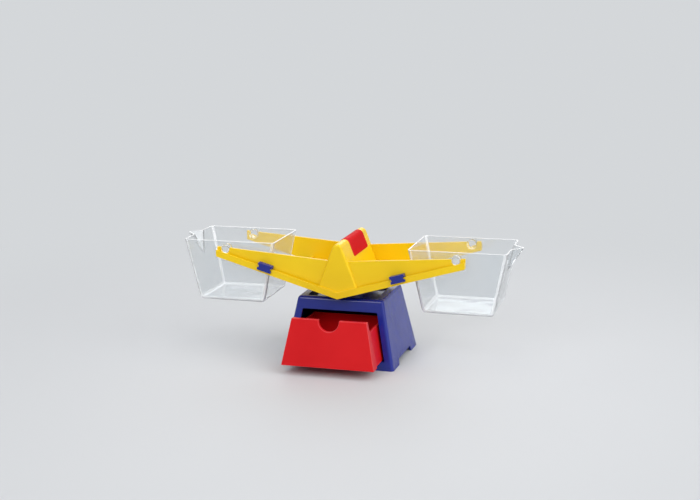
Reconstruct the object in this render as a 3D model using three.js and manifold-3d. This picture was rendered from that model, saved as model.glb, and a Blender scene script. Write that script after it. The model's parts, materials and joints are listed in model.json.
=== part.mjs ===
// Bucket balance for children: a tapered base with a drawer, a boat-shaped beam on a
// central fulcrum, two sliding zero weights and two clear buckets hung in the beam's ends.
// Millimetres, +Z up, +X to the right, the front facing -Y. The pieces are drawn about the
// middle of the base, and the whole is then set so that the origin is on the ground under the
// middle of the balance as it stands with its drawer open.
import * as THREE from 'three';
import { mergeVertices } from 'three/addons/utils/BufferGeometryUtils.js';
import { ConvexGeometry } from 'three/addons/geometries/ConvexGeometry.js';
import Module from 'manifold-3d';

const wasm = await Module();
wasm.setup();

// Base shell
const baseHeight = 78;
const baseTopHalfX = 50.6;
const baseBottomHalfX = 66;
const baseTopHalfY = 42;
const baseBottomHalfY = 56;
const baseWall = 2.6;
const basePlateau = 2.8; // thickness of the top and of the well's floor
const baseCorner = 3.5;
const baseTopRound = 3;
const topBorderX = 9.6; // flat strip beside the well
const topBorderY = 6;
const wellDepth = 5;
const wellCorner = 4;
const footCutHeight = 6.5;
const footCutHalf = 27;
const footCutLean = 1.5;

// Drawer bay
const sill = 10;
const lintel = 13.7;
const jamb = 9.1;
const bayCorner = 1.5;
const sillGap = 1; // between the sill and the drawer

// Floor of the base and its screws
const floorThick = 2.2;
const floorBottom = 7;
const floorGap = 0.5;
const runnerWidth = 4;
const runnerInset = 15; // from the drawer's lower edge
const guideThick = 1.8;
const guideHeight = 4.8;
const drawerStopHalf = 30;
const bossRadius = 3.2;
const bossHeight = 21;
const bossWallGap = 0.4;
const bossEndGap = 15.7; // from the screws to the end walls
const bossRib = 2;

// Screws
const screwRadius = 1.2;
const screwHeadRadius = 2.9;
const screwHeadHeight = 1.8;
const screwCrownRadius = 2; // flat end of the head
const screwFit = 0.3; // round the shank
const screwSeat = 0.1; // under the head
const plateScrewLength = 14;
const fulcrumScrewLength = 13;
const fulcrumScrewY = 20;

// Drawer
const drawerOpen = 41; // pulled out by this much
const drawerGap = 0.8; // to the bay's edges
const panelThick = 4.6;
const cheekDepth = 0.8; // of the panel's side edges behind its top
const drawerWall = 2.2;
const drawerSideDrop = 13.5; // sides below the panel's top
const drawerSideInset = 2; // sides inside the panel's edges
const drawerRearGap = 8; // to the base's rear wall when shut
const runningGap = 0.3;
const thumbRadius = 12;
const thumbDepth = 12.8;

// Buckets
const bucketTopHalfX = 56;
const bucketBottomHalfX = 40.3;
const bucketTopHalfY = 41.5;
const bucketBottomHalfY = 37;
const bucketHeight = 72.8;
const bucketWall = 2;
const bucketCorner = 4;
const bucketFootRound = 6;
const bucketFootCorner = 1;
const rimAbovePeg = 8;
const spoutReach = 11.7;
const spoutHalfWidth = 14;
const spoutDrop = 26;
const spoutBlunt = 1.2;
const pegRadius = 4;
const pegHeadRadius = 5;
const pegHeadThick = 1.4;
const pegShoulderRadius = 5.6;
const spoutBalance = 0.74; // pegs set towards the spout, so that the bucket hangs level

// Beam
const armReach = 135.3; // fulcrum to the pegs
const railOverhang = 10.2;
const armSlope = THREE.MathUtils.degToRad(16.17);
const beamLift = 1.5; // lowest point above the base
const railMidHeight = 42.4;
const railEndHeight = 11;
const railWall = 2.5;
const bucketSideGap = 4.5;
const notchDepth = 6.4;
const notchFlare = 2.2;
const pegFit = 0.3;
const ridgeHeight = 62.7; // above the lowest point
const ridgeRadius = 6;
const tentWall = 2.6;
const tentAngle = THREE.MathUtils.degToRad(21);
const gableWall = 2.5;
const gableRound = 2.4; // round edge of the tent's ends
const armFloorThick = 2.4;
const bucketSwingRoom = 17; // between the arm's floor and the bucket
const endRibHeight = 7;
const ledgeSlot = 2.6;
const ledgeLip = 2;
const ledgeHeight = 7.6;
const ledgeShelf = 2;
const ledgeEnd = 2.2;

// Fulcrum post
const tiltLimit = THREE.MathUtils.degToRad(17);
const stopMargin = THREE.MathUtils.degToRad(0.5);
const pivotFit = 0.3;
const postEndGap = 1;
const postFlangeHalfX = 13;
const postFlangeThick = 3;
const postFlangeInset = 3;
const postFlangeCorner = 3;
const postFlare = 34; // height over which the blade widens towards the gables
const postCoreWall = 2.2;
const postCoreHalfY = 14;
const postCoreHeight = 44;

// Index cap
const capFront = -21;
const capRear = 35;
const capDrop = 19.5; // below the ridge
const capCorner = 3;
const capProud = 0.5;
const capSink = 1.2;
const capFit = 0.3;

// Sliders
const sliderLeftX = -85.5;
const sliderRightX = 70.5;
const sliderLength = 17;
const sliderFit = 0.35;
const sliderFront = 2.2;
const sliderBridge = 3.6;
const sliderTongue = 1.6;
const sliderTongueDrop = 4.2;
const sliderFrontDrop = 4.6;
const sliderNotchDepth = 1.5; // in both ends of the face
const sliderNotchHeight = 3.2;

// Fineness of round stretches
const cornerSteps = 6;
const roundSides = 24;
const arcSegments = 10;
const cutOver = 2; // how far a cutter runs past a face
const weld = 1; // how far joined shapes run into each other

// Values that follow from the sizes above
const baseLeanX = (baseBottomHalfX - baseTopHalfX) / baseHeight;
const baseLeanY = (baseBottomHalfY - baseTopHalfY) / baseHeight;
const baseHalfX = (z) => baseBottomHalfX - baseLeanX * z;
const baseHalfY = (z) => baseBottomHalfY - baseLeanY * z;
const wellHalfX = baseTopHalfX - topBorderX;
const wellHalfY = baseTopHalfY - topBorderY;
const wellFloor = baseHeight - wellDepth;
const bayTop = baseHeight - lintel;
const bayHalfX = (z) => baseHalfX(z) - jamb;

const floorTop = floorBottom + floorThick;
const bossBottom = floorTop + runningGap;
const bossX = baseHalfX(bossBottom) - baseWall - bossWallGap - bossRadius;
const bossY = baseHalfY(bossBottom) - baseWall - bossEndGap;

const drawerBottom = sill + sillGap;
const drawerTop = bayTop - drawerGap;
const panelHalfX = (z) => bayHalfX(z) - drawerGap;
const drawerSideTop = drawerTop - drawerSideDrop;
const drawerHalfX = (z) => panelHalfX(z) - drawerSideInset;
const drawerShutRear = baseHalfY(drawerSideTop) - baseWall - drawerRearGap;

const slopeRise = Math.tan(armSlope);
const beamBottom = baseHeight + beamLift;
const railEndX = armReach + railOverhang;
const railBottomZ = (x) => beamBottom + slopeRise * Math.abs(x);
const railEndTop = railBottomZ(railEndX) + railEndHeight;
const railTopRise = (railEndTop - beamBottom - railMidHeight) / railEndX;
const railTopZ = (x) => beamBottom + railMidHeight + railTopRise * Math.abs(x);
const railInner = bucketTopHalfY + bucketSideGap;
const railOuter = railInner + railWall;
const lipInner = railOuter + ledgeSlot;
const lipOuter = lipInner + ledgeLip;
const pivotZ = beamBottom + ridgeHeight - ridgeRadius;
const ridgeTop = beamBottom + ridgeHeight;
const notchRadius = pegRadius + pegFit;
const pegZ = railTopZ(armReach) - notchDepth + notchRadius;
const armFloorReach = armReach - bucketTopHalfX - bucketSwingRoom;
const lipTopZ = (x) => railBottomZ(x) + ledgeHeight;

const bucketTop = pegZ + rimAbovePeg;
const bucketBottom = bucketTop - bucketHeight;
const bucketLeanX = (bucketTopHalfX - bucketBottomHalfX) / bucketHeight;
const bucketLeanY = (bucketTopHalfY - bucketBottomHalfY) / bucketHeight;
const bucketHalfX = (z) => bucketBottomHalfX + bucketLeanX * (z - bucketBottom);
const bucketHalfY = (z) => bucketBottomHalfY + bucketLeanY * (z - bucketBottom);

// Joining and cutting
function solidOf(geometry) {
  const bare = geometry.clone();
  bare.deleteAttribute('normal');
  bare.deleteAttribute('uv');
  const merged = mergeVertices(bare, 1e-4);
  return new wasm.Manifold(new wasm.Mesh({
    numProp: 3,
    vertProperties: new Float32Array(merged.attributes.position.array),
    triVerts: new Uint32Array(merged.index.array),
  }));
}

function geometryOf(solid) {
  const mesh = solid.getMesh();
  const geometry = new THREE.BufferGeometry();
  geometry.setAttribute('position', new THREE.BufferAttribute(mesh.vertProperties, 3));
  geometry.setIndex(new THREE.BufferAttribute(mesh.triVerts, 1));
  geometry.computeVertexNormals();
  return geometry;
}

const join = (...solids) => solids.reduce((whole, next) => whole.add(next));
const cut = (solid, ...cutters) => cutters.reduce((rest, cutter) => rest.subtract(cutter), solid);

// Shapes
const outline = (points) => new THREE.Shape(points.map(([u, v]) => new THREE.Vector2(u, v)));

function prism(shape, depth) {
  return new THREE.ExtrudeGeometry(shape, { depth, bevelEnabled: false, curveSegments: arcSegments });
}

// A shape drawn in X and Z, from one Y to another
function prismAlongY(shape, fromY, toY) {
  return solidOf(prism(shape, toY - fromY).rotateX(Math.PI / 2).translate(0, toY, 0));
}

// A shape drawn in Y and Z, from one X to another
function prismAlongX(shape, fromX, toX) {
  const turn = new THREE.Matrix4().makeBasis(
    new THREE.Vector3(0, 1, 0), new THREE.Vector3(0, 0, 1), new THREE.Vector3(1, 0, 0));
  return solidOf(prism(shape, toX - fromX).applyMatrix4(turn).translate(fromX, 0, 0));
}

function box(fromX, toX, fromY, toY, fromZ, toZ) {
  const geometry = new THREE.BoxGeometry(toX - fromX, toY - fromY, toZ - fromZ);
  return solidOf(geometry.translate((fromX + toX) / 2, (fromY + toY) / 2, (fromZ + toZ) / 2));
}

function rod(x, y, fromZ, toZ, radius) {
  const geometry = new THREE.CylinderGeometry(radius, radius, toZ - fromZ, roundSides);
  return solidOf(geometry.rotateX(Math.PI / 2).translate(x, y, (fromZ + toZ) / 2));
}

// Skin through a stack of level rectangles with round corners, closed at both ends
function loft(sections) {
  const rings = sections.map(({ halfX, halfY, corner, z }) => {
    const ring = [];
    for (let quarter = 0; quarter < 4; quarter += 1) {
      const centreX = (halfX - corner) * (quarter === 0 || quarter === 3 ? 1 : -1);
      const centreY = (halfY - corner) * (quarter < 2 ? 1 : -1);
      for (let step = 0; step <= cornerSteps; step += 1) {
        const angle = (quarter + step / cornerSteps) * Math.PI / 2;
        ring.push([centreX + corner * Math.cos(angle), centreY + corner * Math.sin(angle), z]);
      }
    }
    return ring;
  });
  const count = rings[0].length;
  const index = [];
  for (let level = 0; level + 1 < rings.length; level += 1) {
    for (let i = 0; i < count; i += 1) {
      const a = level * count + i;
      const b = level * count + (i + 1) % count;
      index.push(a, b, b + count, a, b + count, a + count);
    }
  }
  const last = (rings.length - 1) * count;
  for (let i = 1; i + 1 < count; i += 1) {
    index.push(0, i + 1, i, last, last + i, last + i + 1);
  }
  const geometry = new THREE.BufferGeometry();
  geometry.setAttribute('position', new THREE.Float32BufferAttribute(rings.flat(2), 3));
  geometry.setIndex(index);
  return solidOf(geometry);
}

// Section of the tent, round at the ridge, with its flanks down to a level
function tentSection(radius, halfAngle, footZ) {
  const tangentX = radius * Math.cos(halfAngle);
  const tangentZ = pivotZ + radius * Math.sin(halfAngle);
  const footX = tangentX + (tangentZ - footZ) * Math.tan(halfAngle);
  const shape = new THREE.Shape();
  shape.moveTo(-footX, footZ);
  shape.lineTo(footX, footZ);
  shape.lineTo(tangentX, tangentZ);
  shape.absarc(0, pivotZ, radius, halfAngle, Math.PI - halfAngle, false);
  return shape;
}

// Base housing
function makeBaseHousing() {
  const outerSections = [{ z: 0, inset: 0 }];
  for (let step = 0; step <= cornerSteps; step += 1) {
    const angle = step / cornerSteps * Math.PI / 2;
    const z = baseHeight - baseTopRound * (1 - Math.sin(angle));
    outerSections.push({ z, inset: baseTopRound * (1 - Math.cos(angle)) });
  }
  const outer = loft(outerSections.map(({ z, inset }) => (
    { z, halfX: baseHalfX(z) - inset, halfY: baseHalfY(z) - inset, corner: baseCorner })));
  const innerCorner = baseCorner - baseWall;
  const hollow = loft([-cutOver, baseHeight - basePlateau].map((z) => (
    { z, halfX: baseHalfX(z) - baseWall, halfY: baseHalfY(z) - baseWall, corner: innerCorner })));
  const panBottom = wellFloor - basePlateau;
  const pan = loft([panBottom, baseHeight - basePlateau / 2].map((z) => (
    { z, halfX: wellHalfX + baseWall, halfY: wellHalfY + baseWall, corner: wellCorner + baseWall })));
  const well = loft([wellFloor, baseHeight + cutOver].map((z) => (
    { z, halfX: wellHalfX, halfY: wellHalfY, corner: wellCorner })));
  const fulcrumHoles = [-1, 1].map((side) => (
    rod(0, side * fulcrumScrewY, panBottom - cutOver, wellFloor + cutOver, screwRadius + screwFit)));

  const bayFront = -baseBottomHalfY - cutOver;
  const bayRear = -baseHalfY(bayTop) + baseWall + cutOver;
  const bay = prismAlongY(baySection(), bayFront, bayRear);
  const footCut = prismAlongX(outline([
    [-footCutHalf - footCutLean, -cutOver], [footCutHalf + footCutLean, -cutOver],
    [footCutHalf, footCutHeight], [-footCutHalf, footCutHeight],
  ]), -baseBottomHalfX - cutOver, baseBottomHalfX + cutOver);

  const bosses = [];
  const pilots = [];
  for (const sideX of [-1, 1]) {
    for (const sideY of [-1, 1]) {
      const x = sideX * bossX;
      const y = sideY * bossY;
      const wallX = sideX * baseHalfX(bossBottom);
      bosses.push(rod(x, y, bossBottom, bossBottom + bossHeight, bossRadius));
      bosses.push(box(Math.min(x, wallX), Math.max(x, wallX), y - bossRib, y + bossRib,
        bossBottom, bossBottom + bossHeight));
      const pilotTop = floorBottom + plateScrewLength + cutOver;
      pilots.push(rod(x, y, bossBottom - cutOver, pilotTop, screwRadius + screwFit));
    }
  }
  const wallMiddle = loft([0, baseHeight].map((z) => (
    { z, halfX: baseHalfX(z) - baseWall / 2, halfY: baseHalfY(z) - baseWall / 2, corner: innerCorner })));
  const shell = join(cut(outer, hollow), pan, join(...bosses).intersect(wallMiddle));
  return cut(shell, well, bay, footCut, ...pilots, ...fulcrumHoles);
}

function baySection() {
  const shape = new THREE.Shape();
  const low = bayHalfX(sill);
  const high = bayHalfX(bayTop);
  shape.moveTo(-low, sill);
  shape.lineTo(low, sill);
  shape.lineTo(bayHalfX(bayTop - bayCorner), bayTop - bayCorner);
  shape.quadraticCurveTo(high, bayTop, high - bayCorner, bayTop);
  shape.lineTo(-high + bayCorner, bayTop);
  shape.quadraticCurveTo(-high, bayTop, -bayHalfX(bayTop - bayCorner), bayTop - bayCorner);
  return shape;
}

// Floor of the base, with the drawer's runners, guides and stop
function makeBasePlate() {
  const halfX = baseHalfX(floorTop) - baseWall - floorGap;
  const halfY = baseHalfY(floorTop) - baseWall - floorGap;
  const sheet = loft([floorBottom, floorTop].map((z) => ({ z, halfX, halfY, corner: baseCorner })));
  const root = floorTop - floorThick / 2;
  const guideHalfY = bossY - bossRadius - floorGap;
  const ribs = [];
  for (const side of [-1, 1]) {
    const runnerX = side * (drawerHalfX(drawerBottom) - runnerInset);
    ribs.push(box(runnerX - runnerWidth / 2, runnerX + runnerWidth / 2, -halfY + floorGap, drawerShutRear,
      root, drawerBottom - runningGap));
    const guideX = side * (drawerHalfX(drawerBottom) + drawerGap + guideThick / 2);
    ribs.push(box(guideX - guideThick / 2, guideX + guideThick / 2, -guideHalfY, guideHalfY,
      root, floorTop + guideHeight));
  }
  const stopY = drawerShutRear + runningGap;
  ribs.push(box(-drawerStopHalf, drawerStopHalf, stopY, stopY + guideThick, root, floorTop + guideHeight));
  const holes = [];
  for (const x of [-bossX, bossX]) {
    for (const y of [-bossY, bossY]) {
      holes.push(rod(x, y, floorBottom - cutOver, floorTop + cutOver, screwRadius + screwFit));
    }
  }
  return cut(join(sheet, ...ribs), ...holes);
}

// Pan-head screw, pointing up, with its head under the level that it holds
function makeScrew(seatZ, length) {
  const headTop = seatZ - screwSeat;
  const headBottom = headTop - screwHeadHeight;
  const tipZ = headTop + length;
  const profile = [
    [0, headBottom], [screwCrownRadius, headBottom], [screwHeadRadius, headTop - screwHeadHeight / 2],
    [screwHeadRadius, headTop], [screwRadius, headTop], [screwRadius, tipZ - screwRadius], [0, tipZ],
  ];
  const points = profile.map(([r, z]) => new THREE.Vector2(r, z));
  return solidOf(new THREE.LatheGeometry(points, roundSides / 2).rotateX(Math.PI / 2));
}

// Upright blade that carries the beam
function makeFulcrumPost() {
  const knifeRadius = ridgeRadius - tentWall - pivotFit;
  const flankAngle = tentAngle - tiltLimit - stopMargin;
  const endHalfY = lipInner - gableWall - postEndGap;
  const footHalfY = wellHalfY - postFlangeInset;
  const flangeTop = wellFloor + postFlangeThick;
  const blade = prismAlongY(tentSection(knifeRadius, flankAngle, wellFloor), -endHalfY, endHalfY);
  const sideView = prismAlongX(outline([
    [-footHalfY, wellFloor], [footHalfY, wellFloor], [footHalfY, flangeTop],
    [endHalfY, flangeTop + postFlare], [endHalfY, ridgeTop], [-endHalfY, ridgeTop],
    [-endHalfY, flangeTop + postFlare], [-footHalfY, flangeTop],
  ]), -postFlangeHalfX, postFlangeHalfX);
  const flange = loft([wellFloor, flangeTop].map((z) => (
    { z, halfX: postFlangeHalfX, halfY: footHalfY, corner: postFlangeCorner })));
  const flankHalf = (z) => knifeRadius / Math.cos(flankAngle) + (pivotZ - z) * Math.tan(flankAngle);
  const coreTop = wellFloor + postCoreHeight;
  const coreLow = flankHalf(wellFloor) - postCoreWall;
  const coreHigh = flankHalf(coreTop) - postCoreWall;
  const core = prismAlongY(outline([
    [-coreLow, wellFloor - cutOver], [coreLow, wellFloor - cutOver],
    [coreHigh, coreTop], [-coreHigh, coreTop],
  ]), -postCoreHalfY, postCoreHalfY);
  const pilotTop = wellFloor + fulcrumScrewLength;
  const pilots = [-1, 1].map((side) => (
    rod(0, side * fulcrumScrewY, wellFloor - cutOver, pilotTop, screwRadius + screwFit)));
  return cut(join(blade.intersect(sideView), flange), core, ...pilots);
}

// Drawer, built shut and then pulled out. Its front leans with the base, and the panel's side
// edges run back to an upright plane.
function makeDrawer() {
  const section = (bottomZ, topZ, inset) => outline([
    [-drawerHalfX(bottomZ) + inset, bottomZ], [drawerHalfX(bottomZ) - inset, bottomZ],
    [drawerHalfX(topZ) - inset, topZ], [-drawerHalfX(topZ) + inset, topZ],
  ]);
  const behindFront = (depth) => prismAlongX(outline([
    [depth - baseHalfY(0), 0], [drawerShutRear + cutOver, 0],
    [drawerShutRear + cutOver, baseHeight], [depth - baseHalfY(baseHeight), baseHeight],
  ]), -baseBottomHalfX, baseBottomHalfX);
  const frontY = -baseBottomHalfY;
  const panelBackY = panelThick + cheekDepth - baseHalfY(drawerTop);
  const panel = prismAlongY(panelOutline(), frontY, panelBackY);
  const tray = prismAlongY(section(drawerBottom, drawerSideTop, 0), frontY, drawerShutRear);
  const inside = prismAlongY(section(drawerBottom + drawerWall, drawerTop + cutOver, drawerWall),
    frontY, drawerShutRear - drawerWall);
  const whole = join(panel, tray).intersect(behindFront(0));
  return cut(whole, inside.intersect(behindFront(panelThick))).translate([0, -drawerOpen, 0]);
}

function panelOutline() {
  const shape = new THREE.Shape();
  const low = panelHalfX(drawerBottom);
  const high = panelHalfX(drawerTop);
  const thumbZ = drawerTop - thumbDepth + thumbRadius;
  shape.moveTo(-low, drawerBottom);
  shape.lineTo(low, drawerBottom);
  shape.lineTo(high, drawerTop);
  shape.lineTo(thumbRadius, drawerTop);
  shape.lineTo(thumbRadius, thumbZ);
  shape.absarc(0, thumbZ, thumbRadius, 0, -Math.PI, true);
  shape.lineTo(-thumbRadius, drawerTop);
  shape.lineTo(-high, drawerTop);
  return shape;
}

// Strip along the foot of both arms, a given height above the lower edge
function vBand(height, halfLength) {
  return outline([
    [-halfLength, railBottomZ(halfLength)], [0, beamBottom], [halfLength, railBottomZ(halfLength)],
    [halfLength, railBottomZ(halfLength) + height], [0, beamBottom + height],
    [-halfLength, railBottomZ(halfLength) + height],
  ]);
}

function notchSection(x) {
  const topZ = railEndTop + cutOver;
  const shape = new THREE.Shape();
  shape.moveTo(x - notchRadius - notchFlare, topZ);
  shape.lineTo(x - notchRadius, pegZ);
  shape.absarc(x, pegZ, notchRadius, Math.PI, 2 * Math.PI, false);
  shape.lineTo(x + notchRadius + notchFlare, topZ);
  return shape;
}

// Window over the ridge that the index cap fills, seen from the side
function capWindow(grow) {
  const lowZ = ridgeTop - capDrop - grow;
  const highZ = ridgeTop + 2 * cutOver;
  const front = capFront - grow;
  const rear = capRear + grow;
  const corner = capCorner + grow;
  const shape = new THREE.Shape();
  shape.moveTo(front + corner, lowZ);
  shape.lineTo(rear - corner, lowZ);
  shape.absarc(rear - corner, lowZ + corner, corner, -Math.PI / 2, 0, false);
  shape.lineTo(rear, highZ);
  shape.lineTo(front, highZ);
  shape.lineTo(front, lowZ + corner);
  shape.absarc(front + corner, lowZ + corner, corner, Math.PI, 1.5 * Math.PI, false);
  return prismAlongX(shape, -railEndX, railEndX);
}

// Skin over the ridge between two offsets from the tent's surface
function ridgeSkin(outerOffset, innerOffset) {
  const footZ = ridgeTop - capDrop - cutOver;
  const outer = prismAlongY(tentSection(ridgeRadius + outerOffset, tentAngle, footZ), -lipOuter, lipOuter);
  const inner = prismAlongY(tentSection(ridgeRadius + innerOffset, tentAngle, footZ - cutOver),
    -lipOuter - cutOver, lipOuter + cutOver);
  return outer.subtract(inner);
}

// Tent with its end edges rounded
function makeTent() {
  const points = [];
  for (const side of [-1, 1]) {
    for (let step = 0; step <= cornerSteps; step += 1) {
      const angle = step / cornerSteps * Math.PI / 2;
      const inset = gableRound * (1 - Math.cos(angle));
      const y = side * (lipInner - gableRound * (1 - Math.sin(angle)));
      const section = tentSection(ridgeRadius - inset, tentAngle, beamBottom).getPoints(arcSegments);
      points.push(...section.map((point) => new THREE.Vector3(point.x, y, point.y)));
    }
  }
  return solidOf(new ConvexGeometry(points));
}

// Beam: rails, tent, arm floors and ledges in one moulding
function makeBeam() {
  const rail = outline([
    [-railEndX, railBottomZ(railEndX)], [0, beamBottom], [railEndX, railBottomZ(railEndX)],
    [railEndX, railEndTop], [0, railTopZ(0)], [-railEndX, railEndTop],
  ]);
  const aboveV = prismAlongY(vBand(ridgeHeight + cutOver, railEndX), -lipOuter, lipOuter);
  const armFloor = prismAlongY(vBand(armFloorThick, armFloorReach), -railInner - weld, railInner + weld);
  const pieces = [makeTent().intersect(aboveV), armFloor];
  for (const side of [-1, 1]) {
    const strip = (from, to) => [Math.min(side * from, side * to), Math.max(side * from, side * to)];
    pieces.push(prismAlongY(rail, ...strip(railInner, railOuter)));
    pieces.push(prismAlongY(vBand(ledgeShelf, railEndX), ...strip(railOuter - weld, lipOuter)));
    pieces.push(prismAlongY(vBand(ledgeHeight, railEndX), ...strip(lipInner, lipOuter)));
    for (const end of [-1, 1]) {
      const endX = [Math.min(end * railEndX, end * (railEndX - ledgeEnd)),
        Math.max(end * railEndX, end * (railEndX - ledgeEnd))];
      pieces.push(box(...endX, ...strip(railOuter - weld, lipOuter),
        railBottomZ(railEndX) + ledgeShelf / 2, lipTopZ(railEndX - ledgeEnd)));
      const ribX = [Math.min(end * armFloorReach, end * (armFloorReach - armFloorThick)),
        Math.max(end * armFloorReach, end * (armFloorReach - armFloorThick))];
      pieces.push(box(...ribX, ...strip(0, railInner + weld),
        railBottomZ(armFloorReach) + armFloorThick / 2, railBottomZ(armFloorReach) + endRibHeight));
    }
  }
  const gableInner = lipInner - gableWall;
  const under = prismAlongY(tentSection(ridgeRadius - tentWall, tentAngle, beamBottom - cutOver),
    -gableInner, gableInner);
  const notches = [-armReach, armReach].map((x) => (
    prismAlongY(notchSection(x), -railOuter - ledgeSlot / 4, railOuter + ledgeSlot / 4)));
  const capSeat = ridgeSkin(cutOver, -capSink).intersect(capWindow(capFit));
  return cut(join(...pieces), under, ...notches, capSeat);
}

function makeIndexCap() {
  return ridgeSkin(capProud, capFit - capSink).intersect(capWindow(0));
}

// Clip that straddles the ledge's lip: tongue behind it, bridge over it, face in front.
// Drawn with the lip's top edge along X at the origin.
function makeSlider() {
  const faceBack = -lipOuter - sliderFit;
  const tongueFront = -lipInner + sliderFit;
  const bridgeTop = sliderFit + sliderBridge;
  const section = outline([
    [faceBack - sliderFront, -sliderFrontDrop], [faceBack, -sliderFrontDrop], [faceBack, sliderFit],
    [tongueFront, sliderFit], [tongueFront, -sliderTongueDrop],
    [tongueFront + sliderTongue, -sliderTongueDrop], [tongueFront + sliderTongue, bridgeTop],
    [faceBack - sliderFront, bridgeTop],
  ]);
  const clip = prismAlongX(section, -sliderLength / 2, sliderLength / 2);
  const notchMiddle = (bridgeTop - sliderFrontDrop) / 2;
  const notches = [-1, 1].map((end) => {
    const endX = end * sliderLength / 2;
    return box(endX - sliderNotchDepth, endX + sliderNotchDepth, faceBack - sliderFront - cutOver,
      faceBack + sliderFit, notchMiddle - sliderNotchHeight / 2, notchMiddle + sliderNotchHeight / 2);
  });
  return cut(clip, ...notches);
}

// Bucket about its own middle, with the spout towards +X
function makeBucket() {
  const cornerLoss = (bucketCorner - bucketFootCorner) / bucketFootRound;
  const section = (z, inset) => ({
    z,
    halfX: bucketHalfX(z) - inset,
    halfY: bucketHalfY(z) - inset,
    corner: bucketCorner - inset * cornerLoss,
  });
  const tub = (wall, topZ) => {
    const bottomZ = bucketBottom + wall;
    const round = bucketFootRound - wall;
    const sections = [];
    for (let step = 0; step <= cornerSteps; step += 1) {
      const angle = (1 - step / cornerSteps) * Math.PI / 2;
      sections.push(section(bottomZ + round * (1 - Math.sin(angle)), wall + round * (1 - Math.cos(angle))));
    }
    sections.push(section(topZ, wall));
    return loft(sections);
  };
  const lip = (inset, topZ) => {
    const rimX = bucketHalfX(topZ) - inset;
    const half = spoutHalfWidth - inset;
    const footZ = bucketTop - spoutDrop + 2 * inset;
    const rootX = bucketHalfX(footZ) - inset - bucketWall / 2;
    const tipX = rimX + spoutReach - inset / 2;
    const blunt = spoutBlunt - inset / 2;
    const back = rimX - bucketWall;
    return solidOf(new ConvexGeometry([
      new THREE.Vector3(back, -half, topZ), new THREE.Vector3(back, half, topZ),
      new THREE.Vector3(tipX, -blunt, topZ), new THREE.Vector3(tipX, blunt, topZ),
      new THREE.Vector3(rootX, -blunt, footZ), new THREE.Vector3(rootX, blunt, footZ),
    ]));
  };
  const pegProfile = [
    [0, bucketHalfY(pegZ) - bucketWall / 2], [pegShoulderRadius, bucketHalfY(pegZ) - bucketWall / 2],
    [pegShoulderRadius, railInner - pegFit], [pegRadius, railInner - pegFit],
    [pegRadius, railOuter + pegFit], [pegHeadRadius, railOuter + pegFit],
    [pegHeadRadius, railOuter + pegFit + pegHeadThick], [0, railOuter + pegFit + pegHeadThick],
  ].map(([r, y]) => new THREE.Vector2(r, y));
  const pegs = [0, Math.PI].map((turn) => {
    const peg = new THREE.LatheGeometry(pegProfile, roundSides).rotateX(turn);
    return solidOf(peg.translate(spoutBalance, 0, pegZ));
  });
  const outside = join(tub(0, bucketTop), lip(0, bucketTop), ...pegs);
  const inside = join(tub(bucketWall, bucketTop + cutOver), lip(bucketWall, bucketTop + cutOver));
  return outside.subtract(inside);
}

// Finishes
const finish = (color, roughness, extra = {}) => (
  () => new THREE.MeshStandardMaterial({ color, roughness, metalness: 0, ...extra }));
const bluePlastic = finish(0x2f35a8, 0.38);
const yellowPlastic = finish(0xf4c41c, 0.36);
const redPlastic = finish(0xd8232a, 0.38);
const clearPlastic = finish(0xe9eff2, 0.08, { transparent: true, opacity: 0.35 });
const screwSteel = finish(0x9a9ca0, 0.35, { metalness: 0.9 });

// Assembly
const balance = new THREE.Group();
balance.position.y = -(baseBottomHalfY - baseHalfY(drawerBottom) - drawerOpen) / 2;

function place(name, solid, material) {
  const mesh = new THREE.Mesh(geometryOf(solid), material());
  mesh.name = name;
  balance.add(mesh);
  return mesh;
}

place('base_housing', makeBaseHousing(), bluePlastic);
place('base_plate', makeBasePlate(), bluePlastic);
for (const [sideX, nameX] of [[-1, 'left'], [1, 'right']]) {
  for (const [sideY, nameY] of [[-1, 'front'], [1, 'rear']]) {
    const solid = makeScrew(floorBottom, plateScrewLength);
    const screw = place(`plate_screw_${nameY}_${nameX}`, solid, screwSteel);
    screw.position.set(sideX * bossX, sideY * bossY, 0);
  }
}

place('fulcrum_post', makeFulcrumPost(), bluePlastic);
for (const [sideY, nameY] of [[-1, 'front'], [1, 'rear']]) {
  const seat = wellFloor - basePlateau;
  const screw = place(`fulcrum_screw_${nameY}`, makeScrew(seat, fulcrumScrewLength), screwSteel);
  screw.position.set(0, sideY * fulcrumScrewY, 0);
}

place('drawer', makeDrawer(), redPlastic);
place('beam', makeBeam(), yellowPlastic);
place('index_cap', makeIndexCap(), redPlastic);

for (const [name, x] of [['slider_left', sliderLeftX], ['slider_right', sliderRightX]]) {
  const slider = place(name, makeSlider(), bluePlastic);
  slider.position.set(x, 0, lipTopZ(x));
  slider.rotation.y = -Math.sign(x) * armSlope;
}

for (const [name, side] of [['bucket_left', -1], ['bucket_right', 1]]) {
  const bucket = place(name, makeBucket(), clearPlastic);
  bucket.position.x = side * (armReach - spoutBalance);
  bucket.rotation.z = side > 0 ? 0 : Math.PI;
}

export default balance;
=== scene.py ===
import bmesh
import bpy
import json
import math
from mathutils import Matrix, Vector

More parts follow.
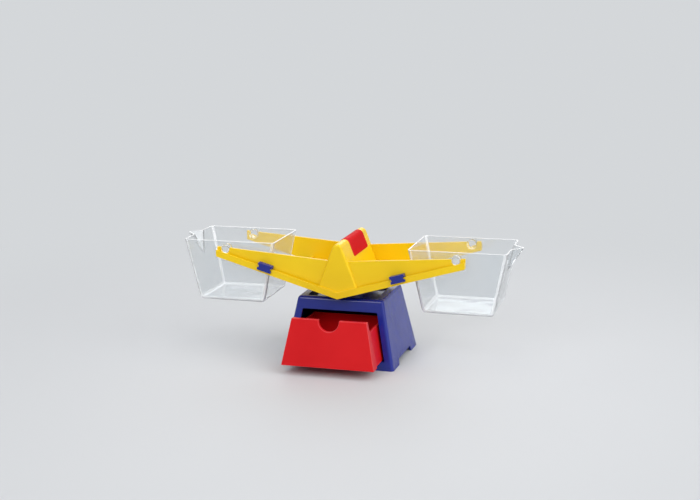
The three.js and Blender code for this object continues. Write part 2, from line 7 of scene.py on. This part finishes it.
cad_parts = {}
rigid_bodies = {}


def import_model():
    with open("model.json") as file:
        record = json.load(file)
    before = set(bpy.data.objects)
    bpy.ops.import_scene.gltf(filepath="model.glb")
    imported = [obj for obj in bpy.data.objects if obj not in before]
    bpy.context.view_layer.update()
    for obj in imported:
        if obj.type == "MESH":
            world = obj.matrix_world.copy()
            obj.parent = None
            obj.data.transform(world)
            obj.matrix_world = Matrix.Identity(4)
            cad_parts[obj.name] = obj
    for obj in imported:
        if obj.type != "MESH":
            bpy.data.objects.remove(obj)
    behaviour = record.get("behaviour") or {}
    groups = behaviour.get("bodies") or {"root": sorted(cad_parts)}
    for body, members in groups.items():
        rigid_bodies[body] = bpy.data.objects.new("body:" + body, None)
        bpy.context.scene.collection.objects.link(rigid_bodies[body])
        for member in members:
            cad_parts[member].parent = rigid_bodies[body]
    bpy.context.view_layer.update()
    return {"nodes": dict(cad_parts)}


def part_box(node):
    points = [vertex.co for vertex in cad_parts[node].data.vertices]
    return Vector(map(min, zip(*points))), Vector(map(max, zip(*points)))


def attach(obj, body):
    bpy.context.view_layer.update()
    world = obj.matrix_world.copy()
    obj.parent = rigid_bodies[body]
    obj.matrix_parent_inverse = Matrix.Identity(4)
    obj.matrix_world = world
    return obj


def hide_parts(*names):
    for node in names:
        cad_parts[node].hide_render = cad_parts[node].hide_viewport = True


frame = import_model()
print("frame loaded:", len(frame["nodes"]), "nodes")


def deselectAll():
    for one in bpy.context.view_layer.objects:
        one.select_set(False)


def pickObject(piece):
    deselectAll()
    piece.select_set(True)
    bpy.context.view_layer.objects.active = piece


def applyModifier(piece, kind, **settings):
    pickObject(piece)
    made = piece.modifiers.new(kind.lower(), kind)
    for key, value in settings.items():
        setattr(made, key, value)
    bpy.ops.object.modifier_apply(modifier=made.name)


def selectWhere(piece, kind, test):  # in edit mode, by place or normal
    mesh = bmesh.from_edit_mesh(piece.data)
    bpy.context.tool_settings.mesh_select_mode = (kind == "verts", kind == "edges", kind == "faces")
    for part in list(mesh.faces) + list(mesh.edges) + list(mesh.verts):
        part.select_set(False)
    for part in [one for one in getattr(mesh, kind) if test(one)]:
        part.select_set(True)
    mesh.select_flush_mode()
    bmesh.update_edit_mesh(piece.data)


def enterEdit(piece):
    pickObject(piece)
    bpy.ops.object.mode_set(mode="EDIT")


def leaveEdit():
    bpy.ops.object.mode_set(mode="OBJECT")


def finishEdges(piece, width, steps, angle, smooth):
    applyModifier(
        piece, "BEVEL", width=width, segments=steps, limit_method="ANGLE",
        angle_limit=math.radians(angle), use_clamp_overlap=True, miter_outer="MITER_ARC")
    pickObject(piece)
    bpy.ops.object.shade_smooth_by_angle(angle=math.radians(smooth))
    applyModifier(piece, "WEIGHTED_NORMAL", weight=100, keep_sharp=True)


# Materials

def startMaterial(name):
    material = bpy.data.materials.new(name)
    material.use_nodes = True
    nodes = material.node_tree.nodes
    return material, nodes, material.node_tree.links, nodes["Principled BSDF"]


noiseDetail = {"soft": 1.0, "plain": 2.0, "rich": 3.0}


def noiseField(nodes, links, place, scale, detail="plain", stretch=(1, 1, 1)):
    mapping = nodes.new("ShaderNodeMapping")
    mapping.inputs["Scale"].default_value = stretch
    links.new(place, mapping.inputs["Vector"])
    noise = nodes.new("ShaderNodeTexNoise")
    noise.inputs["Scale"].default_value = scale
    noise.inputs["Detail"].default_value = noiseDetail[detail]
    links.new(mapping.outputs["Vector"], noise.inputs["Vector"])
    return noise.outputs["Fac"]


fieldReach = (0.15, 0.85)  # most of a noise lies between these


def spread(nodes, links, field, low, high):
    ranged = nodes.new("ShaderNodeMapRange")
    ranged.interpolation_type = "SMOOTHSTEP"
    ranged.inputs["From Min"].default_value, ranged.inputs["From Max"].default_value = fieldReach
    ranged.inputs["To Min"].default_value = low
    ranged.inputs["To Max"].default_value = high
    links.new(field, ranged.inputs["Value"])
    return ranged.outputs["Result"]


def mathNode(nodes, links, operation, first, second):
    maths = nodes.new("ShaderNodeMath")
    maths.operation = operation
    links.new(first, maths.inputs[0])
    links.new(second, maths.inputs[1])
    return maths.outputs["Value"]


def colourRamp(nodes, links, field, colours, reach=(0, 1)):
    ramp = nodes.new("ShaderNodeValToRGB")
    for end, colour, position in zip(ramp.color_ramp.elements, colours, reach):
        end.color = (*colour, 1)
        end.position = position
    links.new(field, ramp.inputs["Fac"])
    return ramp.outputs["Color"]


def mixColour(nodes, links, share, colour, other):
    mixed = nodes.new("ShaderNodeMix")
    mixed.data_type = "RGBA"
    links.new(share, mixed.inputs["Factor"])
    links.new(colour, mixed.inputs["A"])
    mixed.inputs["B"].default_value = (*other, 1)
    return mixed.outputs["Result"]


def bumpNode(nodes, links, height, strength, distance):
    bump = nodes.new("ShaderNodeBump")
    bump.inputs["Strength"].default_value = strength
    bump.inputs["Distance"].default_value = distance
    links.new(height, bump.inputs["Height"])
    return bump


def mouldedPlastic(name, look):
    material, nodes, links, shader = startMaterial(name)
    place = nodes.new("ShaderNodeTexCoord").outputs["Object"]
    clouds = noiseField(nodes, links, place, look["cloudScale"], "rich")
    colour = colourRamp(nodes, links, clouds, (look["deep"], look["bright"]), look["cloudReach"])
    rubbed = noiseField(nodes, links, place, look["rubScale"], "plain", look["rubStretch"])
    links.new(spread(nodes, links, rubbed, *look["roughness"]), shader.inputs["Roughness"])
    edge = nodes.new("ShaderNodeAttribute")  # handled edges are a little paler, and not evenly: partly wear, partly a painted highlight where the rounded edges catch the light
    edge.attribute_name = "edgeRubAndHighlight"
    uneven = spread(nodes, links, rubbed, *look["wearAndHighlight"])
    wearAndHighlight = mathNode(nodes, links, "MULTIPLY", edge.outputs["Fac"], uneven)
    links.new(mixColour(nodes, links, wearAndHighlight, colour, look["wornAndHighlight"]), shader.inputs["Base Color"])
    grain = noiseField(nodes, links, place, look["grainScale"])
    waves = noiseField(nodes, links, place, look["waveScale"], "soft")
    waveBump = bumpNode(nodes, links, waves, look["waveStrength"], look["waveDepth"])
    grainBump = bumpNode(nodes, links, grain, look["grainStrength"], look["grainDepth"])
    links.new(waveBump.outputs["Normal"], grainBump.inputs["Normal"])
    links.new(grainBump.outputs["Normal"], shader.inputs["Normal"])
    shader.inputs["IOR"].default_value = look["ior"]
    shader.inputs["Specular IOR Level"].default_value = look["gloss"]
    return material


def clearPlastic(name, look):
    material, nodes, links, shader = startMaterial(name)
    place = nodes.new("ShaderNodeTexCoord").outputs["Object"]
    haze = noiseField(nodes, links, place, look["hazeScale"], "rich", look["hazeStretch"])
    links.new(spread(nodes, links, haze, *look["roughness"]), shader.inputs["Roughness"])
    flow = noiseField(nodes, links, place, look["flowScale"], "plain", look["flowStretch"])
    bump = bumpNode(nodes, links, flow, look["flowStrength"], look["flowDepth"])
    links.new(bump.outputs["Normal"], shader.inputs["Normal"])
    tint = colourRamp(nodes, links, haze, (look["cool"], look["plain"]))
    edge = nodes.new("ShaderNodeAttribute")  # rims and rounded corners are painted whiter and less clear than the walls, a painted highlight for the bright lines in clear edges
    edge.attribute_name = "edgeHighlight"
    highlighted = mixColour(nodes, links, edge.outputs["Fac"], tint, look["rimHighlight"])
    links.new(highlighted, shader.inputs["Base Color"])
    clarity = nodes.new("ShaderNodeMapRange")
    clarity.inputs["To Min"].default_value = look["clear"]
    clarity.inputs["To Max"].default_value = look["edgeClear"]
    links.new(edge.outputs["Fac"], clarity.inputs["Value"])
    links.new(clarity.outputs["Result"], shader.inputs["Transmission Weight"])
    shader.inputs["IOR"].default_value = look["ior"]
    return material


def platedSteel(name, look):
    material, nodes, links, shader = startMaterial(name)
    place = nodes.new("ShaderNodeTexCoord").outputs["Object"]
    scratch = noiseField(nodes, links, place, look["scratchScale"], "rich", look["scratchStretch"])
    links.new(spread(nodes, links, scratch, *look["roughness"]), shader.inputs["Roughness"])
    colour = colourRamp(nodes, links, scratch, (look["deep"], look["bright"]))
    links.new(colour, shader.inputs["Base Color"])
    shader.inputs["Metallic"].default_value = 1.0
    return material


plasticGrain = {
    "cloudScale": 14, "cloudReach": (0.35, 0.65), "rubScale": 45, "rubStretch": (1, 1, 0.35),
    "grainScale": 2600, "grainStrength": 0.25, "grainDepth": 0.00006,
    "waveScale": 26, "waveStrength": 0.35, "waveDepth": 0.0012,
    "ior": 1.5, "gloss": 0.3, "wearAndHighlight": (0.15, 0.55),
}
# each look's paler edge colour is partly wear and partly a painted highlight on the rounded edges
yellowLook = {
    **plasticGrain, "deep": (0.83, 0.545, 0.004), "bright": (0.88, 0.595, 0.006),
    "wornAndHighlight": (0.93, 0.74, 0.16), "roughness": (0.29, 0.36),
}
blueLook = {
    **plasticGrain, "deep": (0.005, 0.014, 0.205), "bright": (0.008, 0.019, 0.245),
    "wornAndHighlight": (0.085, 0.105, 0.42), "roughness": (0.19, 0.25), "gloss": 0.45,
}
redLook = {
    **plasticGrain, "deep": (0.57, 0.005, 0.008), "bright": (0.63, 0.008, 0.011),
    "wornAndHighlight": (0.80, 0.15, 0.16), "roughness": (0.29, 0.36), "gloss": 0.19,
}
patchLook = {**redLook, "roughness": (0.52, 0.60), "gloss": 0.05}  # the patch is matt
# the rim colour and edgeClear paint a highlight on the rims and rounded corners: whiter and less clear
# than the walls
bucketLook = {
    "cool": (0.83, 0.86, 0.88), "plain": (0.88, 0.885, 0.885), "rimHighlight": (0.98, 0.985, 0.99),
    "clear": 0.93, "edgeClear": 0.12, "ior": 1.49, "roughness": (0.03, 0.10),
    "hazeScale": 30, "hazeStretch": (1, 1, 0.3),
    "flowScale": 22, "flowStretch": (1, 1, 0.4), "flowStrength": 0.3, "flowDepth": 0.0015,
}
steelLook = {
    "deep": (0.48, 0.48, 0.47), "bright": (0.66, 0.66, 0.65), "roughness": (0.22, 0.42),
    "scratchScale": 500, "scratchStretch": (1, 1, 0.2),
}
yellowPlastic = mouldedPlastic("yellowPlastic", yellowLook)
bluePlastic = mouldedPlastic("bluePlastic", blueLook)
redPlastic = mouldedPlastic("redPlastic", redLook)
redPatch = mouldedPlastic("redPatch", patchLook)
bucketPlastic = clearPlastic("bucketPlastic", bucketLook)
screwSteel = platedSteel("screwSteel", steelLook)
print("materials made")


# Pieces that follow a moulded solid, with their edges rounded

def roundedCopy(node, name, body, material, edge):
    source = frame["nodes"][node]
    piece = bpy.data.objects.new(name, source.data.copy())
    bpy.context.scene.collection.objects.link(piece)
    enterEdit(piece)
    bpy.ops.mesh.select_all(action="SELECT")
    bpy.ops.mesh.remove_doubles(threshold=edge["merge"])
    bpy.ops.mesh.dissolve_limited(angle_limit=math.radians(edge["flat"]))
    leaveEdit()
    finishEdges(piece, edge["width"], edge["steps"], edge["angle"], edge["smooth"])
    markEdges(piece, edge["strip"])
    dress(piece, body, material, node)
    return piece


def markEdges(piece, strip):  # the narrow faces that the bevel left, which get the paler edge colour: wear and a painted highlight
    mesh = piece.data
    rubAndHighlight = mesh.attributes.new("edgeRubAndHighlight", "FLOAT", "FACE")
    for face in mesh.polygons:
        corners = [mesh.vertices[index].co for index in face.vertices]
        longest = max((one - other).length for one, other in zip(corners, corners[1:] + corners[:1]))
        rubAndHighlight.data[face.index].value = 1.0 if face.area < longest * strip else 0.0


def dress(piece, body, material, node):
    piece.data.materials.clear()
    piece.data.materials.append(material)
    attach(piece, body)
    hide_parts(node)
    print(piece.name, "made:", len(piece.data.polygons), "faces")


moulded = {
    "merge": 0.00001, "flat": 1.0, "width": 0.0006, "steps": 3, "angle": 35, "smooth": 40,
    "strip": 0.0005,
}
clipEdges = {**moulded, "width": 0.00015, "strip": 0.00015}  # the clips have narrow steps
capEdges = {**moulded, "width": 0.0004}
for node in ("base_housing", "base_plate", "fulcrum_post"):
    roundedCopy(node, node + "_shape", "base", bluePlastic, moulded)
for node in ("slider_left", "slider_right"):
    roundedCopy(node, node + "_shape", node, bluePlastic, clipEdges)
roundedCopy("drawer", "drawer_shape", "drawer", redPlastic, moulded)
roundedCopy("index_cap", "index_cap_shape", "beam", redPatch, capEdges)
roundedCopy("beam", "beam_shape", "beam", yellowPlastic, moulded)


# Buckets: one is modelled on the right and a turned copy hangs on the left

bucketShape = {
    "topHalf": (0.056, 0.0415), "bottomHalf": (0.0403, 0.037), "wall": 0.002,
    "corner": 0.0045, "cornerSteps": 6, "stripArea": 0.00012, "cornerHighlight": 0.36,
    "spoutHalf": 0.014, "spoutDrop": 0.026, "spoutReach": 0.0117, "spoutBlunt": 0.0012,
    "rimRound": 0.00045, "rimSteps": 3, "rimAngle": 50, "smooth": 35, "rimReach": 0.0002,
    "cornerTurn": 0.97, "spoutTurn": 0.05, "pegShift": 0.00074, "pegDrop": 0.008,
    "pegSides": 40, "pegStart": 0.0405,
    "pegSteps": ((0.0457, 0.0056), (0.0457, 0.004), (0.0488, 0.004), (0.0488, 0.005), (0.0502, 0.005)),
}
looksAlong = 0.9  # a face looks along an axis when that part of its normal is over this


def near(a, b, reach=bucketShape["rimReach"]):
    return abs(a - b) < reach


def modelTub(shape, middle, top, bottom):
    deselectAll()
    halfX, halfY = shape["bottomHalf"]
    bpy.ops.mesh.primitive_cube_add(
        size=1, location=(middle.x, middle.y, (top + bottom) / 2),
        scale=(2 * halfX, 2 * halfY, top - bottom))
    tub = bpy.context.object
    bpy.ops.object.transform_apply(location=True, rotation=True, scale=True)
    enterEdit(tub)
    selectWhere(tub, "faces", lambda face: face.normal.z > looksAlong)
    flare = (shape["topHalf"][0] / halfX, shape["topHalf"][1] / halfY, 1)
    bpy.ops.transform.resize(value=flare, center_override=(middle.x, middle.y, top))
    bpy.ops.mesh.delete(type="ONLY_FACE")
    selectWhere(tub, "edges", lambda edge: not edge.is_boundary)
    bpy.ops.mesh.bevel(offset=shape["corner"], segments=shape["cornerSteps"], affect="EDGES")
    pullSpout(tub, shape, middle, top)
    leaveEdit()
    applyModifier(tub, "SOLIDIFY", thickness=shape["wall"], offset=-1, use_even_offset=True)
    enterEdit(tub)
    selectWhere(tub, "verts", lambda v: v.co.z > top - shape["rimReach"])
    bpy.ops.transform.resize(value=(1, 1, 0), center_override=(middle.x, middle.y, top))
    leaveEdit()
    # rims get the full painted highlight and rounded corners a smaller share
    paintedHighlight = tub.data.attributes.new("edgeHighlight", "FLOAT", "FACE")
    for face in tub.data.polygons:
        onRim = face.normal.z > looksAlong and near(face.center.z, top)
        onSpout = abs(face.normal.y) < shape["spoutTurn"] and face.center.z > top - shape["spoutDrop"]
        slanted = max(abs(part) for part in face.normal) < shape["cornerTurn"]
        rounded = slanted and face.area < shape["stripArea"] and not onSpout
        paintedHighlight.data[face.index].value = 1.0 if onRim else shape["cornerHighlight"] if rounded else 0.0
    return tub


def pullSpout(tub, shape, middle, top):
    def endWall(face):
        return face.normal.x > looksAlong and face.calc_center_median().x > middle.x
    for across in (-shape["spoutHalf"], -shape["spoutBlunt"], shape["spoutBlunt"], shape["spoutHalf"]):
        selectWhere(tub, "faces", endWall)
        bpy.ops.mesh.bisect(plane_co=(middle.x, middle.y + across, top), plane_no=(0, 1, 0))
    root = top - shape["spoutDrop"]
    selectWhere(tub, "faces", lambda face: endWall(face) and abs(
        face.calc_center_median().y - middle.y) < shape["spoutHalf"])
    bpy.ops.mesh.bisect(plane_co=(middle.x, middle.y, root), plane_no=(0, 0, 1))
    for side in (-1, 1):
        def diagonalEnd(v):
            onRim = near(v.co.z, top) and near(v.co.y - middle.y, side * shape["spoutHalf"])
            onRoot = near(v.co.z, root) and near(v.co.y - middle.y, side * shape["spoutBlunt"])
            return v.co.x > middle.x and (onRim or onRoot)
        selectWhere(tub, "verts", diagonalEnd)
        bpy.ops.mesh.vert_connect()
    selectWhere(tub, "verts", lambda v: v.co.x > middle.x and near(v.co.z, top) and near(
        abs(v.co.y - middle.y), shape["spoutBlunt"]))
    bpy.ops.transform.translate(value=(shape["spoutReach"], 0, 0))


def modelPeg(shape, middle, pegZ, side):
    deselectAll()
    start = middle.y + side * shape["pegStart"]
    bpy.ops.mesh.primitive_circle_add(
        vertices=shape["pegSides"], radius=shape["pegSteps"][0][1], fill_type="NGON",
        location=(middle.x + shape["pegShift"], start, pegZ), rotation=(math.pi / 2, 0, 0))
    peg = bpy.context.object
    bpy.ops.object.transform_apply(location=True, rotation=True, scale=True)
    enterEdit(peg)
    bpy.ops.mesh.select_all(action="SELECT")
    reach, radius = shape["pegStart"], shape["pegSteps"][0][1]
    for nextReach, nextRadius in shape["pegSteps"]:
        bpy.ops.mesh.extrude_region_move(
            TRANSFORM_OT_translate={"value": (0, side * (nextReach - reach), 0)})
        grow = nextRadius / radius
        middleOfPeg = (middle.x + shape["pegShift"], middle.y + side * nextReach, pegZ)
        bpy.ops.transform.resize(value=(grow, 1, grow), center_override=middleOfPeg)
        reach, radius = nextReach, nextRadius
    bpy.ops.mesh.select_all(action="SELECT")
    bpy.ops.mesh.normals_make_consistent(inside=False)
    leaveEdit()
    return peg


def modelBucket(shape):
    low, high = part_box("bucket_right")
    middle = Vector((low.x + shape["topHalf"][0], (low.y + high.y) / 2, 0))
    bucket = modelTub(shape, middle, high.z, low.z)
    for side in (-1, 1):
        peg = modelPeg(shape, middle, high.z - shape["pegDrop"], side)
        applyModifier(bucket, "BOOLEAN", object=peg, operation="UNION", solver="EXACT")
        bpy.data.objects.remove(peg)
    finishEdges(bucket, shape["rimRound"], shape["rimSteps"], shape["rimAngle"], shape["smooth"])
    return bucket, middle


rightBucket, bucketMiddle = modelBucket(bucketShape)
rightBucket.name = "bucket_right_shape"
leftBucket = bpy.data.objects.new("bucket_left_shape", rightBucket.data.copy())
bpy.context.scene.collection.objects.link(leftBucket)
halfTurn = Matrix.Translation((0, bucketMiddle.y, 0)) @ Matrix.Rotation(math.pi, 4, "Z")
leftBucket.data.transform(halfTurn @ Matrix.Translation((0, -bucketMiddle.y, 0)))
dress(rightBucket, "bucket_right", bucketPlastic, "bucket_right")
dress(leftBucket, "bucket_left", bucketPlastic, "bucket_left")
for bucket in (leftBucket, rightBucket):
    bucket.visible_shadow = False  # clear walls let the lamps' light through


# Screws with a cross recess in their heads

screwShape = {
    "merge": 0.00001, "flat": 1.0, "width": 0.0002, "steps": 2, "angle": 40, "smooth": 35,
    "strip": 0.0002, "slotLength": 0.0034, "slotWidth": 0.0007, "slotDepth": 0.0011,
}
for node in [name for name in frame["nodes"] if "screw" in name]:
    screw = roundedCopy(node, node + "_shape", "base", screwSteel, screwShape)
    low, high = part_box(node)
    for turn in (0, math.pi / 2):
        deselectAll()
        bpy.ops.mesh.primitive_cube_add(
            size=1, location=((low.x + high.x) / 2, (low.y + high.y) / 2, low.z), rotation=(0, 0, turn),
            scale=(screwShape["slotLength"], screwShape["slotWidth"], 2 * screwShape["slotDepth"]))
        recess = bpy.context.object
        applyModifier(screw, "BOOLEAN", object=recess, operation="DIFFERENCE", solver="EXACT")
        bpy.data.objects.remove(recess)


# Floor, light and camera

studio = {
    "floorSize": 40, "floorColour": (0.56, 0.57, 0.585), "floorGrain": 3.0,
    "floorRoughness": (0.55, 0.65), "floorGloss": 0.15, "fadeFrom": 0.2, "fadeTo": 0.85,
    "pale": (0.66, 0.68, 0.70), "skyColour": (0.97, 0.98, 1.0), "skyReach": (0.05, 0.5),
    "skyStrength": (0.2, 0.5), "aim": (0, 0.02, 0.08),
}


def raysThatSee(nodes, links):  # the camera's, and those that clear plastic and gloss send on
    path = nodes.new("ShaderNodeLightPath")
    seen = path.outputs["Is Camera Ray"]
    for kind in ("Is Transmission Ray", "Is Glossy Ray"):
        seen = mathNode(nodes, links, "MAXIMUM", seen, path.outputs[kind])
    return seen


def mixShaders(nodes, links, share, first, second, output):
    mix = nodes.new("ShaderNodeMixShader")
    links.new(share, mix.inputs["Fac"])
    links.new(first, mix.inputs[1])
    links.new(second, mix.inputs[2])
    links.new(mix.outputs["Shader"], nodes[output].inputs["Surface"])


deselectAll()
bpy.ops.mesh.primitive_plane_add(size=studio["floorSize"], location=(0, 0, 0))
floor = bpy.context.object
floor.name = "floor"
floorPaint, floorNodes, floorLinks, floorShader = startMaterial("floorPaint")
floorPlace = floorNodes.new("ShaderNodeTexCoord").outputs["Object"]
floorTone = noiseField(floorNodes, floorLinks, floorPlace, studio["floorGrain"])
floorRough = spread(floorNodes, floorLinks, floorTone, *studio["floorRoughness"])
floorLinks.new(floorRough, floorShader.inputs["Roughness"])
floorShader.inputs["Base Color"].default_value = (*studio["floorColour"], 1)
floorShader.inputs["Specular IOR Level"].default_value = studio["floorGloss"]
farAway = floorNodes.new("ShaderNodeVectorMath")  # away from the object the floor fades to the backdrop
farAway.operation = "LENGTH"
floorLinks.new(floorPlace, farAway.inputs[0])
fade = floorNodes.new("ShaderNodeMapRange")
fade.interpolation_type = "SMOOTHSTEP"
fade.inputs["From Min"].default_value = studio["fadeFrom"]
fade.inputs["From Max"].default_value = studio["fadeTo"]
floorLinks.new(farAway.outputs["Value"], fade.inputs["Value"])
floorSeen = raysThatSee(floorNodes, floorLinks)
fadeSeen = mathNode(floorNodes, floorLinks, "MULTIPLY", fade.outputs["Result"], floorSeen)
paleGlow = floorNodes.new("ShaderNodeEmission")
paleGlow.inputs["Color"].default_value = (*studio["pale"], 1)
mixShaders(floorNodes, floorLinks, fadeSeen, floorShader.outputs["BSDF"], paleGlow.outputs["Emission"],
           "Material Output")
floor.data.materials.append(floorPaint)

world = bpy.data.worlds.new("studioSky")
bpy.context.scene.world = world
world.use_nodes = True
skyNodes = world.node_tree.nodes
skyLinks = world.node_tree.links
ambient = skyNodes["Background"]  # a room that is brighter overhead than at its walls
skyPlace = skyNodes.new("ShaderNodeTexCoord")
skyAxes = skyNodes.new("ShaderNodeSeparateXYZ")
skyLinks.new(skyPlace.outputs["Generated"], skyAxes.inputs["Vector"])
skyTone = skyNodes.new("ShaderNodeMapRange")
skyTone.inputs["From Min"].default_value, skyTone.inputs["From Max"].default_value = studio["skyReach"]
skyTone.inputs["To Min"].default_value, skyTone.inputs["To Max"].default_value = studio["skyStrength"]
skyLinks.new(skyAxes.outputs["Z"], skyTone.inputs["Value"])
ambient.inputs["Color"].default_value = (*studio["skyColour"], 1)
skyLinks.new(skyTone.outputs["Result"], ambient.inputs["Strength"])
backdrop = skyNodes.new("ShaderNodeBackground")
backdrop.inputs["Color"].default_value = (*studio["pale"], 1)
mixShaders(skyNodes, skyLinks, raysThatSee(skyNodes, skyLinks), ambient.outputs["Background"],
           backdrop.outputs["Background"], "World Output")

lamps = {
    "keyRight": {"place": (1.9, -0.7, 1.75), "size": 3.0, "power": 54},
    "fillFront": {"place": (-0.8, -2.4, 1.76), "size": 1.6, "power": 30},
    "rimBack": {"place": (-0.6, 2.3, 1.7), "size": 2.2, "power": 22},
    "topSoft": {"place": (-0.16, -0.24, 2.4), "size": 1.3, "power": 6},
}
for name, lamp in lamps.items():
    deselectAll()
    bpy.ops.object.light_add(type="AREA", location=lamp["place"])
    light = bpy.context.object
    light.name = name
    light.data.energy = lamp["power"]
    light.data.shape = "DISK"
    light.data.size = lamp["size"]
    light.visible_camera = False
    away = Vector(lamp["place"]) - Vector(studio["aim"])
    light.rotation_euler = away.to_track_quat("Z", "Y").to_euler()

viewpoint = {
    "place": (0.40069, -1.30330, 0.43074), "right": (0.95787, 0.28687, -0.01397),
    "up": (-0.04888, 0.21076, 0.97632), "back": (0.28302, -0.93450, 0.21590),
    "lens": 62.744, "sensor": 36,
}
deselectAll()
bpy.ops.object.camera_add()
camera = bpy.context.object
turned = Matrix((viewpoint["right"], viewpoint["up"], viewpoint["back"])).transposed()
camera.matrix_world = Matrix.Translation(viewpoint["place"]) @ turned.to_4x4()
camera.data.sensor_width = viewpoint["sensor"]
camera.data.lens = viewpoint["lens"]
bpy.context.scene.camera = camera
bpy.context.scene.view_settings.view_transform = "Standard"
print("studio set")
